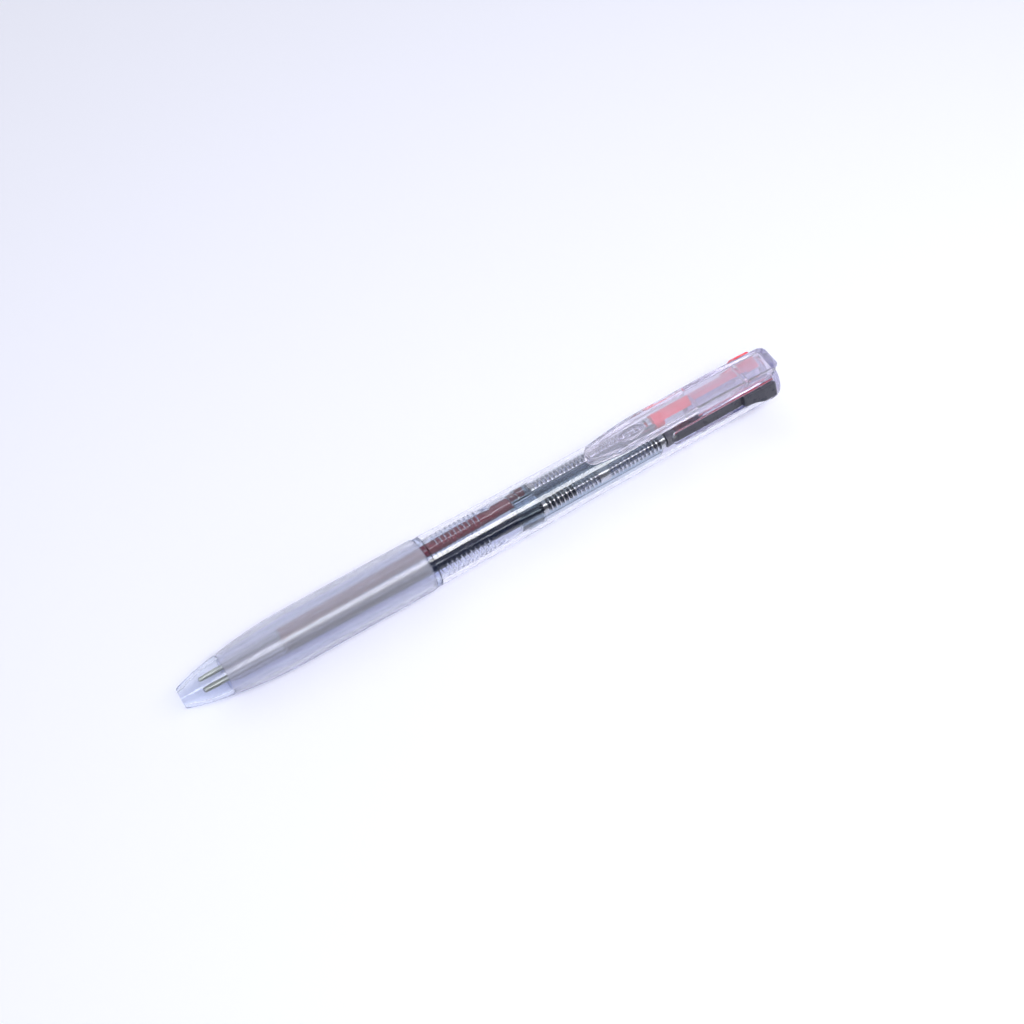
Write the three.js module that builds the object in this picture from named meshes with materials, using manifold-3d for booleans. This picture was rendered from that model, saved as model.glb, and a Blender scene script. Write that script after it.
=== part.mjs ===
// A clear three-colour retractable ballpoint pen, lying on its side.
// X runs along the pen with the end cap at +X, Z is up, and the clip is on top.
// The pen rests on the flat of its lowest thumb pad, where Z is 0.
// Stations are distances in millimetres behind the front face of the nose.
import * as THREE from 'three';
import { mergeVertices } from 'three/addons/utils/BufferGeometryUtils.js';
import Module from 'manifold-3d';

const wasm = await Module();
wasm.setup();

// Lengths along the pen
const NOSE_LENGTH = 9.5;
const GRIP_LENGTH = 45.9;
const COLLAR_LENGTH = 1.0;
const NECK_LENGTH = 20.6;
const BARREL_LENGTH = 87.35;
const CAP_THICKNESS = 1.95;
const SEAM_GAP = 0.15;
const SEAT_GAP = 0.3;
const BULKHEAD_LENGTH = 4.9;
const BULKHEAD_STEP_LENGTH = 1.8;
const SLOT_LENGTH = 28;
const SLIDER_LENGTH = 28.85;
const CORE_LENGTH = 19;
const CLIP_LENGTH = 50.3;

// Refill, point and ball
const TIP_SET_BACK = 4.5;
const BALL_RADIUS = 0.35;
const BALL_PROUD = 0.25;
const POCKET_GAP = 0.03;
const POCKET_DEPTH = 0.5;
const RIM_WIDTH = 0.07;
const FEED_RADIUS = 0.2;
const POINT_CONE_LENGTH = 2.4;
const POINT_NECK_RADIUS = 0.55;
const POINT_NECK_LENGTH = 3.2;
const POINT_SHANK_RADIUS = 0.62;
const POINT_SHANK_LENGTH = 12;
const TUBE_RADIUS = 1.35;
const TUBE_WALL = 0.35;
const TUBE_TAPER_LENGTH = 2.6;
const TUBE_FRONT_WALL = 0.18;
const FIT_GAP = 0.08;
const CLUSTER_GAP = 0.1;
const INK_GAP = 0.05;
const BEND_LEAD = 1;

// Springs
const WIRE_RADIUS = 0.16;
const SPRING_CLEARANCE = 0.1;
const SPRING_CURLS = 26;
const STEPS_PER_CURL = 8;
const WIRE_SIDES = 5;

// Guide, neck and barrel
const FIN_THICKNESS = 0.45;
const FIN_CLEARANCE = 0.12;
const GUIDE_HOLE_GAP = 0.2;
const BULKHEAD_STEP = 0.4;
const BORE_CLEARANCE = 0.1;
const BARREL_WALL = 0.8;
const BARREL_FLARE = 0.3;
const SOCKET_STEP = 0.15;
const THREAD_CLEARANCE = 0.2;
const COLLAR_STEP = 0.05;

// Nose, grip seat and rubber sleeve
const NOSE_TIP_RADIUS = 2.175;
const NOSE_HOLE_RADIUS = 1.45;
const NOSE_HOLE_LENGTH = 1.1;
const NOSE_HOLE_FLARE = 0.2;
const NOSE_BULGE = 0.5;
const NOSE_BORE_RADIUS = 3.45;
const FRONT_WALL = 0.5;
const SEAT_WALL = 0.7;
const SEAT_TAPER_LENGTH = 15;
const SLEEVE_GAP = 0.08;
const SLEEVE_FRONT_WALL = 0.5;
const SLEEVE_WALL = 1.12;
const SLEEVE_SWELL_LENGTH = 17;
const SLEEVE_BULGE = 0.33;
const EDGE_RADIUS = 0.35;

// Sliders and their latch
const BAR_WIDTH = 2.5;
const SLIDE_GAP = 0.15;
const HUB_RADIUS = 1.15;
const LATCH_STEP = 0.35;
const TAIL_LENGTH = 3.2;
const TRAVEL = 7.5;
const SPRING_COLLAR_LENGTH = 2.5;
const SPIGOT_LENGTH = 3.2;
const PAD_LENGTH = 8.3;
const PAD_RAMP_LENGTH = 4.4;
const PAD_HEIGHT = 1.4;
const PAD_LIFT = 0.2;
const PAD_WIDTH = 3.2;
const PAD_CORNER = 0.9;

// Clip and cap
const CAP_RIM = 0.05;
const CAP_EDGE_RADIUS = 1.3;
const CLIP_GAP = 0.55;
const CLIP_DEPTH = 2.15;
const CLIP_THICKNESS = 1.2;
const CLIP_WALL = 0.8;
const CLIP_WIDTH = 6.4;
const CLIP_TIP_WIDTH = 4;
const CLIP_FLARE_LENGTH = 16;
const CLIP_TIP_DROP = 0.4;
const CLIP_SLOPE_LENGTH = 18;
const CLIP_END_DROP = 0.9;
const CLIP_ROOT_LENGTH = 22.5;
const CLIP_RIB_SET_BACK = 9.4;
const CLIP_CORNER = 2.6;
const CLIP_EDGE_RADIUS = 1.1;
const BEAD_LENGTH = 7;
const BEAD_WIDTH = 3.2;
const BEAD_DEPTH = 1;
const BEAD_SET_BACK = 11.8;

// Roundness of the faceted solids
const LARGE_SIDES = 36;
const SMALL_SIDES = 14;
const POINT_SIDES = 10;
const ARC_STEPS = 5;
const MERGE_DISTANCE = 1e-4;

// Each lane of the pen is one colour, turned about the pen's axis from the clip.
// Its fill is the share of the refill tube that still holds ink.
const LANES = [
  { name: 'black', turn: 60, slider: 0x45424b, ink: 0x17161c, fill: 0.77 },
  { name: 'red', turn: -60, slider: 0xe12436, ink: 0xb0142c, fill: 0.66 },
  { name: 'blue', turn: 180, slider: 0x3a44b4, ink: 0x1b2c9a, fill: 0.72 },
];

// Stations worked out from the lengths
const gripEnd = NOSE_LENGTH + GRIP_LENGTH;
const collarEnd = gripEnd + COLLAR_LENGTH;
const neckEnd = collarEnd + NECK_LENGTH;
const barrelStart = collarEnd + SEAM_GAP;
const barrelEnd = barrelStart + BARREL_LENGTH;
const capStart = barrelEnd + SEAM_GAP;
const capEnd = capStart + CAP_THICKNESS;
const bulkheadStart = neckEnd + SEAT_GAP;
const bulkheadEnd = bulkheadStart + BULKHEAD_LENGTH;
const bendStation = bulkheadEnd + BEND_LEAD;
const sliderEnd = capStart - SEAT_GAP;
const springCollarStart = sliderEnd - SLIDER_LENGTH;
const coreStart = capStart - CORE_LENGTH;
const pointStart = TIP_SET_BACK + BALL_PROUD;
const shankStart = pointStart + POINT_CONE_LENGTH + POINT_NECK_LENGTH;
const shankEnd = shankStart + POINT_SHANK_LENGTH;
const tubeTaperEnd = shankStart + TUBE_TAPER_LENGTH;
const tubeEnd = springCollarStart - SEAM_GAP;
const clipTip = capEnd - CLIP_LENGTH;
const clipCrest = capEnd - CLIP_SLOPE_LENGTH;

// Radii worked out from the refill outwards
const tubeBore = TUBE_RADIUS - TUBE_WALL;
const springInner = TUBE_RADIUS + SPRING_CLEARANCE;
const springMean = (springInner + WIRE_RADIUS) / Math.cos(Math.PI / STEPS_PER_CURL);
const springOuter = springMean + WIRE_RADIUS;
const laneRadius = (springOuter + FIN_CLEARANCE + FIN_THICKNESS / 2) / Math.sin(Math.PI / 3);
const boreRadius = laneRadius + springOuter + BORE_CLEARANCE;
const barrelRadius = boreRadius + BARREL_WALL;
const barrelFrontRadius = barrelRadius + BARREL_FLARE;
const socketRadius = boreRadius + SOCKET_STEP;
const neckRadius = socketRadius - THREAD_CLEARANCE;
const neckBore = laneRadius + TUBE_RADIUS + BORE_CLEARANCE;
const seatFrontRadius = NOSE_BORE_RADIUS + FRONT_WALL;
const seatRadius = neckBore + SEAT_WALL;
const noseBaseRadius = seatFrontRadius + SLEEVE_FRONT_WALL;
const clusterRadius = (TUBE_RADIUS + CLUSTER_GAP / 2) / Math.sin(Math.PI / 3);
const bendSlope = (laneRadius - clusterRadius) / (bendStation - tubeTaperEnd);
const capRadius = barrelRadius + CAP_RIM;
const coreRadius = boreRadius - SLIDE_GAP;
const latchRadius = HUB_RADIUS + LATCH_STEP;
const tailRadius = latchRadius + SLIDE_GAP;
const barInnerRadius = tailRadius + LATCH_STEP;
const barOuterRadius = Math.sqrt((boreRadius - SLIDE_GAP) ** 2 - (BAR_WIDTH / 2) ** 2);
const slotWidth = BAR_WIDTH + 2 * SLIDE_GAP;
const padRadius = barrelRadius + PAD_HEIGHT;
const padUnderside = barrelRadius + PAD_LIFT;
const clipTop = barrelRadius + CLIP_GAP + CLIP_DEPTH;

// Finishes
const clearPlastic = () => new THREE.MeshStandardMaterial({
  color: 0xdcdcea, roughness: 0.08, metalness: 0, transparent: true, opacity: 0.35,
});
const frostedRubber = () => new THREE.MeshStandardMaterial({
  color: 0xc6c6d8, roughness: 0.75, metalness: 0, transparent: true, opacity: 0.7,
});
const metal = (color) => new THREE.MeshStandardMaterial({ color, roughness: 0.25, metalness: 1 });
const glossy = (color) => new THREE.MeshStandardMaterial({ color, roughness: 0.3, metalness: 0 });

// Volume with its sign: negative when the faces point inwards
function signedVolume(geometry) {
  const position = geometry.getAttribute('position');
  const index = geometry.index.array;
  const corners = [new THREE.Vector3(), new THREE.Vector3(), new THREE.Vector3()];
  let sum = 0;
  for (let i = 0; i < index.length; i += 3) {
    corners.forEach((corner, k) => corner.fromBufferAttribute(position, index[i + k]));
    sum += corners[0].dot(corners[1].clone().cross(corners[2])) / 6;
  }
  return sum;
}

// One closed body: shared corners joined, empty faces dropped, faces turned outwards
function closeBody(geometry) {
  const plain = new THREE.BufferGeometry();
  plain.setAttribute('position', geometry.getAttribute('position').clone());
  if (geometry.index) {
    plain.setIndex(geometry.index.clone());
  }
  const merged = mergeVertices(plain, MERGE_DISTANCE);
  const index = merged.index.array;
  const faces = [];
  for (let i = 0; i < index.length; i += 3) {
    const [a, b, c] = [index[i], index[i + 1], index[i + 2]];
    if (a !== b && b !== c && c !== a) {
      faces.push([a, b, c]);
    }
  }
  merged.setIndex(faces.flat());
  if (signedVolume(merged) < 0) {
    merged.setIndex(faces.flatMap(([a, b, c]) => [a, c, b]));
  }
  return merged;
}

function toSolid(geometry) {
  const body = closeBody(geometry);
  return new wasm.Manifold(new wasm.Mesh({
    numProp: 3,
    vertProperties: new Float32Array(body.getAttribute('position').array),
    triVerts: new Uint32Array(body.index.array),
  }));
}

function fromSolid(solid) {
  const mesh = solid.getMesh();
  const geometry = new THREE.BufferGeometry();
  geometry.setAttribute('position', new THREE.BufferAttribute(mesh.vertProperties.slice(), 3));
  geometry.setIndex(Array.from(mesh.triVerts));
  geometry.computeVertexNormals();
  return geometry;
}

const join = (...parts) => parts.map(toSolid).reduce((whole, part) => whole.add(part));
const cut = (solid, ...tools) => (
  tools.map(toSolid).reduce((whole, tool) => whole.subtract(tool), solid)
);

// A path of stations and radii turned about the X axis, lifted off it by some height
function revolve(path, sides, lift = 0) {
  const outline = path.getPoints(ARC_STEPS).map((p) => new THREE.Vector2(Math.max(p.y, 0), p.x));
  const geometry = new THREE.LatheGeometry(outline, sides);
  geometry.rotateZ(-Math.PI / 2);
  geometry.translate(0, 0, lift);
  return closeBody(geometry);
}

// A plain round rod or hole from one station to another
function rod(start, end, radius, sides, lift = 0) {
  const path = new THREE.Path();
  path.moveTo(start, 0);
  path.lineTo(start, radius);
  path.lineTo(end, radius);
  path.lineTo(end, 0);
  return revolve(path, sides, lift);
}

// An outline of stations and heights, seen from the side, made as wide as given
function sidePrism(outline, width) {
  const geometry = new THREE.ExtrudeGeometry(outline, {
    depth: width, bevelEnabled: false, curveSegments: ARC_STEPS,
  });
  const along = new THREE.Vector3(1, 0, 0);
  const up = new THREE.Vector3(0, 0, 1);
  const across = new THREE.Vector3(0, -1, 0);
  geometry.applyMatrix4(new THREE.Matrix4().makeBasis(along, up, across));
  geometry.translate(0, width / 2, 0);
  return geometry;
}

// An outline of stations and widths, seen from above, between two heights
function planPrism(outline, low, high) {
  const geometry = new THREE.ExtrudeGeometry(outline, {
    depth: high - low, bevelEnabled: false, curveSegments: ARC_STEPS,
  });
  geometry.translate(0, 0, low);
  return geometry;
}

function box(startX, endX, width, low, high) {
  const geometry = new THREE.BoxGeometry(endX - startX, width, high - low);
  geometry.translate((startX + endX) / 2, 0, (low + high) / 2);
  return geometry;
}

const turned = (geometry, degrees) => geometry.clone().rotateX(THREE.MathUtils.degToRad(degrees));

// How far a refill's middle lies from the pen's axis: straight in its spring, then leaning inwards
const refillRadiusAt = (station) => laneRadius - bendSlope * Math.max(bendStation - station, 0);

// Moves a refill piece, made along the X axis, out to its leaning line
function leanIntoLane(geometry) {
  const position = geometry.getAttribute('position');
  for (let i = 0; i < position.count; i += 1) {
    position.setZ(i, position.getZ(i) + refillRadiusAt(position.getX(i)));
  }
  return geometry;
}

// Clear front barrel: nose cone, grip seat, collar and the neck that screws into the rear barrel
function frontBarrel() {
  const half = NOSE_LENGTH / 2;
  const holeBackRadius = NOSE_HOLE_RADIUS + NOSE_HOLE_FLARE;
  const outerBulge = (NOSE_TIP_RADIUS + noseBaseRadius) / 2 + NOSE_BULGE;
  const innerBulge = (holeBackRadius + NOSE_BORE_RADIUS) / 2 + NOSE_BULGE;
  const path = new THREE.Path();
  path.moveTo(0, NOSE_HOLE_RADIUS);
  path.lineTo(0, NOSE_TIP_RADIUS - EDGE_RADIUS);
  path.quadraticCurveTo(0, NOSE_TIP_RADIUS, EDGE_RADIUS, NOSE_TIP_RADIUS + EDGE_RADIUS / 2);
  path.quadraticCurveTo(half, outerBulge, NOSE_LENGTH, noseBaseRadius);
  path.lineTo(NOSE_LENGTH, seatFrontRadius);
  path.lineTo(NOSE_LENGTH + SEAT_TAPER_LENGTH, seatRadius);
  path.lineTo(gripEnd, seatRadius);
  path.lineTo(gripEnd, barrelFrontRadius - COLLAR_STEP);
  path.lineTo(collarEnd, barrelFrontRadius - COLLAR_STEP);
  path.lineTo(collarEnd, neckRadius);
  path.lineTo(neckEnd - EDGE_RADIUS, neckRadius);
  path.lineTo(neckEnd, neckRadius - EDGE_RADIUS / 2);
  path.lineTo(neckEnd, neckBore);
  path.lineTo(gripEnd, neckBore);
  path.lineTo(tubeTaperEnd, NOSE_BORE_RADIUS);
  path.lineTo(NOSE_LENGTH - FRONT_WALL, NOSE_BORE_RADIUS);
  path.quadraticCurveTo(half, innerBulge, NOSE_HOLE_LENGTH, holeBackRadius);
  path.lineTo(0, NOSE_HOLE_RADIUS);
  return revolve(path, LARGE_SIDES);
}

// Frosted rubber sleeve, slim at the nose and fullest under the fingers
function gripSleeve() {
  const start = NOSE_LENGTH + SEAM_GAP;
  const end = gripEnd - SEAM_GAP;
  const full = seatRadius + SLEEVE_WALL;
  const swellEnd = NOSE_LENGTH + SLEEVE_SWELL_LENGTH;
  const taper = (seatRadius - seatFrontRadius) / SEAT_TAPER_LENGTH;
  const path = new THREE.Path();
  path.moveTo(start, seatFrontRadius + SLEEVE_GAP + taper * SEAM_GAP);
  path.lineTo(start, noseBaseRadius);
  path.quadraticCurveTo((start + swellEnd) / 2, full + EDGE_RADIUS - SLEEVE_BULGE, swellEnd, full);
  path.lineTo(end - EDGE_RADIUS, full);
  path.quadraticCurveTo(end, full, end, full - EDGE_RADIUS);
  path.lineTo(end, seatRadius + SLEEVE_GAP);
  path.lineTo(NOSE_LENGTH + SEAT_TAPER_LENGTH, seatRadius + SLEEVE_GAP);
  path.lineTo(start, seatFrontRadius + SLEEVE_GAP + taper * SEAM_GAP);
  return revolve(path, LARGE_SIDES);
}

// The long opening that a thumb pad runs in: round at its front end, open at the barrel's rear
function slotCutter() {
  const start = barrelEnd - SLOT_LENGTH;
  const half = slotWidth / 2;
  const outline = new THREE.Shape();
  outline.moveTo(capEnd, -half);
  outline.lineTo(capEnd, half);
  outline.lineTo(start + half, half);
  outline.absarc(start + half, 0, half, Math.PI / 2, 3 * Math.PI / 2, false);
  outline.lineTo(capEnd, -half);
  return planPrism(outline, laneRadius, clipTop);
}

// Clear rear barrel: a thin tube with a wider socket in front and three slots behind
function rearBarrel() {
  const shoulder = bulkheadEnd + SEAT_GAP;
  const path = new THREE.Path();
  path.moveTo(barrelStart, socketRadius);
  path.lineTo(barrelStart, barrelFrontRadius - EDGE_RADIUS / 2);
  path.lineTo(barrelStart + EDGE_RADIUS, barrelFrontRadius);
  path.quadraticCurveTo((barrelStart + coreStart) / 2, barrelRadius, coreStart, barrelRadius);
  path.lineTo(barrelEnd, barrelRadius);
  path.lineTo(barrelEnd, boreRadius);
  path.lineTo(shoulder, boreRadius);
  path.lineTo(shoulder, socketRadius);
  path.lineTo(barrelStart, socketRadius);
  const slots = LANES.map((lane) => turned(slotCutter(), lane.turn));
  return fromSolid(cut(toSolid(revolve(path, LARGE_SIDES)), ...slots));
}

// Clear guide: a stepped bulkhead with a hole for each refill, and three fins between the springs
function springGuide() {
  const bulkheadRadius = socketRadius - BORE_CLEARANCE;
  const path = new THREE.Path();
  path.moveTo(bulkheadStart, 0);
  path.lineTo(bulkheadStart, bulkheadRadius - BULKHEAD_STEP);
  path.lineTo(bulkheadStart + BULKHEAD_STEP_LENGTH, bulkheadRadius - BULKHEAD_STEP);
  path.lineTo(bulkheadStart + BULKHEAD_STEP_LENGTH, bulkheadRadius);
  path.lineTo(bulkheadEnd, bulkheadRadius);
  path.lineTo(bulkheadEnd, 0);
  const finRadius = boreRadius - BORE_CLEARANCE;
  const finEnd = springCollarStart - SEAM_GAP;
  const outline = new THREE.Shape();
  outline.moveTo(bulkheadEnd - BULKHEAD_STEP, 0);
  outline.lineTo(bulkheadEnd - BULKHEAD_STEP, finRadius);
  outline.lineTo(finEnd - finRadius / 2, finRadius);
  outline.quadraticCurveTo(finEnd, finRadius, finEnd, finRadius / 2);
  outline.lineTo(finEnd, 0);
  const fins = LANES.map((lane) => turned(sidePrism(outline, FIN_THICKNESS), lane.turn + 180));
  const middle = (bulkheadStart + bulkheadEnd) / 2;
  const hole = rod(
    bulkheadStart - SEAT_GAP, bulkheadEnd + SEAT_GAP,
    TUBE_RADIUS + GUIDE_HOLE_GAP, SMALL_SIDES, refillRadiusAt(middle),
  );
  const holes = LANES.map((lane) => turned(hole, lane.turn));
  const stub = rod(bulkheadEnd - BULKHEAD_STEP, finEnd, FIN_THICKNESS, SMALL_SIDES);
  return fromSolid(cut(join(revolve(path, LARGE_SIDES), stub, ...fins), ...holes));
}

// The channel that one slider runs in, with the step that its tail latches behind
function channelCutter() {
  const step = capStart - TRAVEL;
  const outline = new THREE.Shape();
  outline.moveTo(coreStart - SEAT_GAP, HUB_RADIUS);
  outline.lineTo(step, HUB_RADIUS);
  outline.lineTo(step, latchRadius);
  outline.lineTo(capStart, latchRadius);
  outline.lineTo(capStart, clipTop);
  outline.lineTo(coreStart - SEAT_GAP, clipTop);
  return sidePrism(outline, slotWidth);
}

// How high the clip's top lies: it rises from the tip to a crest, then slopes down to the cap
const clipTopAt = (station) => clipTop
  - CLIP_TIP_DROP * Math.max(clipCrest - station, 0) / (clipCrest - clipTip)
  - CLIP_END_DROP * Math.max(station - clipCrest, 0) / (capEnd - clipCrest);

// The clip seen from the side, with its deep root and the wall that closes it on the cap
function clipSide() {
  const rootStart = capEnd - CLIP_ROOT_LENGTH;
  const tipTop = clipTopAt(clipTip);
  const endTop = clipTopAt(capEnd);
  const outline = new THREE.Shape();
  outline.moveTo(clipTip, tipTop - CLIP_DEPTH);
  outline.lineTo(clipTip, tipTop - EDGE_RADIUS);
  outline.quadraticCurveTo(clipTip, tipTop, clipTip + EDGE_RADIUS, tipTop);
  outline.lineTo(clipCrest, clipTop);
  outline.lineTo(capEnd - CLIP_EDGE_RADIUS, clipTopAt(capEnd - CLIP_EDGE_RADIUS));
  outline.quadraticCurveTo(capEnd, endTop, capEnd, endTop - CLIP_EDGE_RADIUS);
  outline.lineTo(capEnd, laneRadius);
  outline.lineTo(rootStart, laneRadius);
  outline.lineTo(rootStart, clipTopAt(rootStart) - CLIP_DEPTH);
  outline.lineTo(clipTip, tipTop - CLIP_DEPTH);
  return outline;
}

// The hollow under the clip's plate, seen from the side
function clipHollow() {
  const outline = new THREE.Shape();
  outline.moveTo(clipTip, 0);
  outline.lineTo(clipTip, clipTopAt(clipTip) - CLIP_THICKNESS);
  outline.lineTo(clipCrest, clipTop - CLIP_THICKNESS);
  outline.lineTo(capStart, clipTopAt(capStart) - CLIP_THICKNESS);
  outline.lineTo(capStart, 0);
  outline.lineTo(clipTip, 0);
  return outline;
}

// The clip seen from above: a round tip, flared sides and rounded rear corners, set in by a wall
function clipPlan(wall) {
  const tip = clipTip + wall;
  const end = capEnd - wall;
  const tipHalf = CLIP_TIP_WIDTH / 2 - wall;
  const half = CLIP_WIDTH / 2 - wall;
  const corner = CLIP_CORNER - wall;
  const flareEnd = clipTip + CLIP_FLARE_LENGTH;
  const flareMiddle = (tip + tipHalf + flareEnd) / 2;
  const outline = new THREE.Shape();
  outline.moveTo(tip + tipHalf, tipHalf);
  outline.absarc(tip + tipHalf, 0, tipHalf, Math.PI / 2, 3 * Math.PI / 2, false);
  outline.quadraticCurveTo(flareMiddle, -half, flareEnd, -half);
  outline.lineTo(end - corner, -half);
  outline.quadraticCurveTo(end, -half, end, corner - half);
  outline.lineTo(end, half - corner);
  outline.quadraticCurveTo(end, half, end - corner, half);
  outline.lineTo(flareEnd, half);
  outline.quadraticCurveTo(flareMiddle, half, tip + tipHalf, tipHalf);
  return outline;
}

// The clip's channel: a plate between two side walls, a rib near the cap and the pocket's bead
function clipArm() {
  const ribStart = capEnd - CLIP_RIB_SET_BACK;
  const rootStart = capEnd - CLIP_ROOT_LENGTH;
  const beadStation = clipTip + BEAD_SET_BACK;
  const hollow = toSolid(sidePrism(clipHollow(), CLIP_WIDTH))
    .intersect(toSolid(planPrism(clipPlan(CLIP_WALL), 0, clipTop)))
    .subtract(toSolid(box(ribStart, ribStart + CLIP_WALL, CLIP_WIDTH, 0, clipTop)));
  const channel = toSolid(sidePrism(clipSide(), CLIP_WIDTH))
    .intersect(toSolid(planPrism(clipPlan(0), 0, clipTop + CLIP_THICKNESS)))
    .subtract(hollow)
    .subtract(toSolid(rod(rootStart - SEAT_GAP, capStart, barrelRadius + SEAM_GAP, LARGE_SIDES)));
  const bead = new THREE.SphereGeometry(1, SMALL_SIDES, SMALL_SIDES / 2);
  bead.scale(BEAD_LENGTH / 2, BEAD_WIDTH / 2, BEAD_DEPTH);
  bead.translate(beadStation, 0, clipTopAt(beadStation) - CLIP_THICKNESS);
  return channel.add(toSolid(bead));
}

// Clear end cap, clip and winged core, moulded in one piece
function clipCap() {
  const face = new THREE.Path();
  face.moveTo(capStart, 0);
  face.lineTo(capStart, capRadius);
  face.lineTo(capEnd - CAP_EDGE_RADIUS, capRadius);
  face.quadraticCurveTo(capEnd, capRadius, capEnd, capRadius - CAP_EDGE_RADIUS);
  face.lineTo(capEnd, 0);
  const core = cut(
    toSolid(rod(coreStart, capEnd - CAP_EDGE_RADIUS, coreRadius, LARGE_SIDES)),
    ...LANES.map((lane) => turned(channelCutter(), lane.turn)),
  );
  return fromSolid(toSolid(revolve(face, LARGE_SIDES)).add(clipArm()).add(core));
}

// A thumb pad seen from the side: a ramp in front, a flat top and a round rear end
function padSide(low) {
  const start = sliderEnd - PAD_LENGTH;
  const rampEnd = start + PAD_RAMP_LENGTH;
  const rampTop = padRadius - EDGE_RADIUS / 2;
  const outline = new THREE.Shape();
  outline.moveTo(start, low);
  outline.lineTo(start, padUnderside);
  outline.quadraticCurveTo((start + rampEnd) / 2, padUnderside, rampEnd - EDGE_RADIUS, rampTop);
  outline.quadraticCurveTo(rampEnd, padRadius, rampEnd + EDGE_RADIUS, padRadius);
  outline.lineTo(sliderEnd - PAD_CORNER, padRadius);
  outline.absarc(sliderEnd - PAD_CORNER, padRadius - PAD_CORNER, PAD_CORNER, Math.PI / 2, 0, true);
  outline.lineTo(sliderEnd, low);
  return outline;
}

// A thumb pad seen from above: as narrow as the bar in front, flared behind
function padPlan() {
  const start = sliderEnd - PAD_LENGTH;
  const rampEnd = start + PAD_RAMP_LENGTH;
  const half = PAD_WIDTH / 2;
  const outline = new THREE.Shape();
  outline.moveTo(start, -BAR_WIDTH / 2);
  outline.quadraticCurveTo((start + rampEnd) / 2, -BAR_WIDTH / 2, rampEnd, -half);
  outline.lineTo(sliderEnd - EDGE_RADIUS, -half);
  outline.quadraticCurveTo(sliderEnd, -half, sliderEnd, EDGE_RADIUS - half);
  outline.lineTo(sliderEnd, half - EDGE_RADIUS);
  outline.quadraticCurveTo(sliderEnd, half, sliderEnd - EDGE_RADIUS, half);
  outline.lineTo(rampEnd, half);
  outline.quadraticCurveTo((start + rampEnd) / 2, BAR_WIDTH / 2, start, BAR_WIDTH / 2);
  return outline;
}

// Slider: spigot for the refill, spring collar, long bar, latch tail and thumb pad, pointing up
function slider() {
  const collarMiddle = springCollarStart + SPRING_COLLAR_LENGTH / 2;
  const springCollarEnd = springCollarStart + SPRING_COLLAR_LENGTH;
  const bar = new THREE.Shape();
  bar.moveTo(collarMiddle, barInnerRadius);
  bar.lineTo(collarMiddle, laneRadius);
  bar.lineTo(springCollarEnd, barOuterRadius);
  bar.lineTo(sliderEnd, barOuterRadius);
  bar.lineTo(sliderEnd, tailRadius);
  bar.lineTo(sliderEnd - TAIL_LENGTH, tailRadius);
  bar.lineTo(sliderEnd - TAIL_LENGTH - LATCH_STEP, barInnerRadius);
  const collar = rod(springCollarStart, springCollarEnd, springOuter, SMALL_SIDES, laneRadius);
  const spigot = new THREE.Path();
  const spigotRadius = tubeBore - FIT_GAP;
  const spigotStart = springCollarStart - SPIGOT_LENGTH;
  spigot.moveTo(spigotStart, 0);
  spigot.lineTo(spigotStart, spigotRadius - EDGE_RADIUS);
  spigot.lineTo(spigotStart + EDGE_RADIUS, spigotRadius);
  spigot.lineTo(springCollarStart + SEAM_GAP, spigotRadius);
  spigot.lineTo(springCollarStart + SEAM_GAP, 0);
  const head = toSolid(sidePrism(padSide(padUnderside), PAD_WIDTH))
    .intersect(toSolid(planPrism(padPlan(), boreRadius, clipTop)));
  const body = join(
    sidePrism(bar, BAR_WIDTH), collar, revolve(spigot, SMALL_SIDES, laneRadius),
    sidePrism(padSide(laneRadius), BAR_WIDTH),
  );
  return fromSolid(body.add(head));
}

// The middle line of a spring's wire: straight out of its seat, round its curls and straight in
function springLine() {
  const start = bulkheadEnd + SEAT_GAP;
  const end = springCollarStart - SEAT_GAP;
  const straight = 2 * WIRE_RADIUS;
  const steps = SPRING_CURLS * STEPS_PER_CURL;
  const points = [{ station: start, angle: 0 }];
  for (let k = 0; k <= steps; k += 1) {
    const station = start + straight + (end - start - 2 * straight) * k / steps;
    points.push({ station, angle: 2 * Math.PI * k / STEPS_PER_CURL });
  }
  points.push({ station: end, angle: 2 * Math.PI * SPRING_CURLS });
  return points.map(({ station, angle }) => {
    const out = new THREE.Vector3(0, Math.sin(angle), Math.cos(angle));
    const middle = new THREE.Vector3(station, 0, laneRadius).addScaledVector(out, springMean);
    return { out, middle };
  });
}

// The least space between two curls of the wire, measured on the points of its middle line
function leastGap(line) {
  let least = Infinity;
  for (let i = 0; i < line.length; i += 1) {
    for (let k = i + STEPS_PER_CURL / 2; k < line.length; k += 1) {
      least = Math.min(least, line[i].middle.distanceTo(line[k].middle));
    }
  }
  return least - 2 * WIRE_RADIUS;
}

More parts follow.
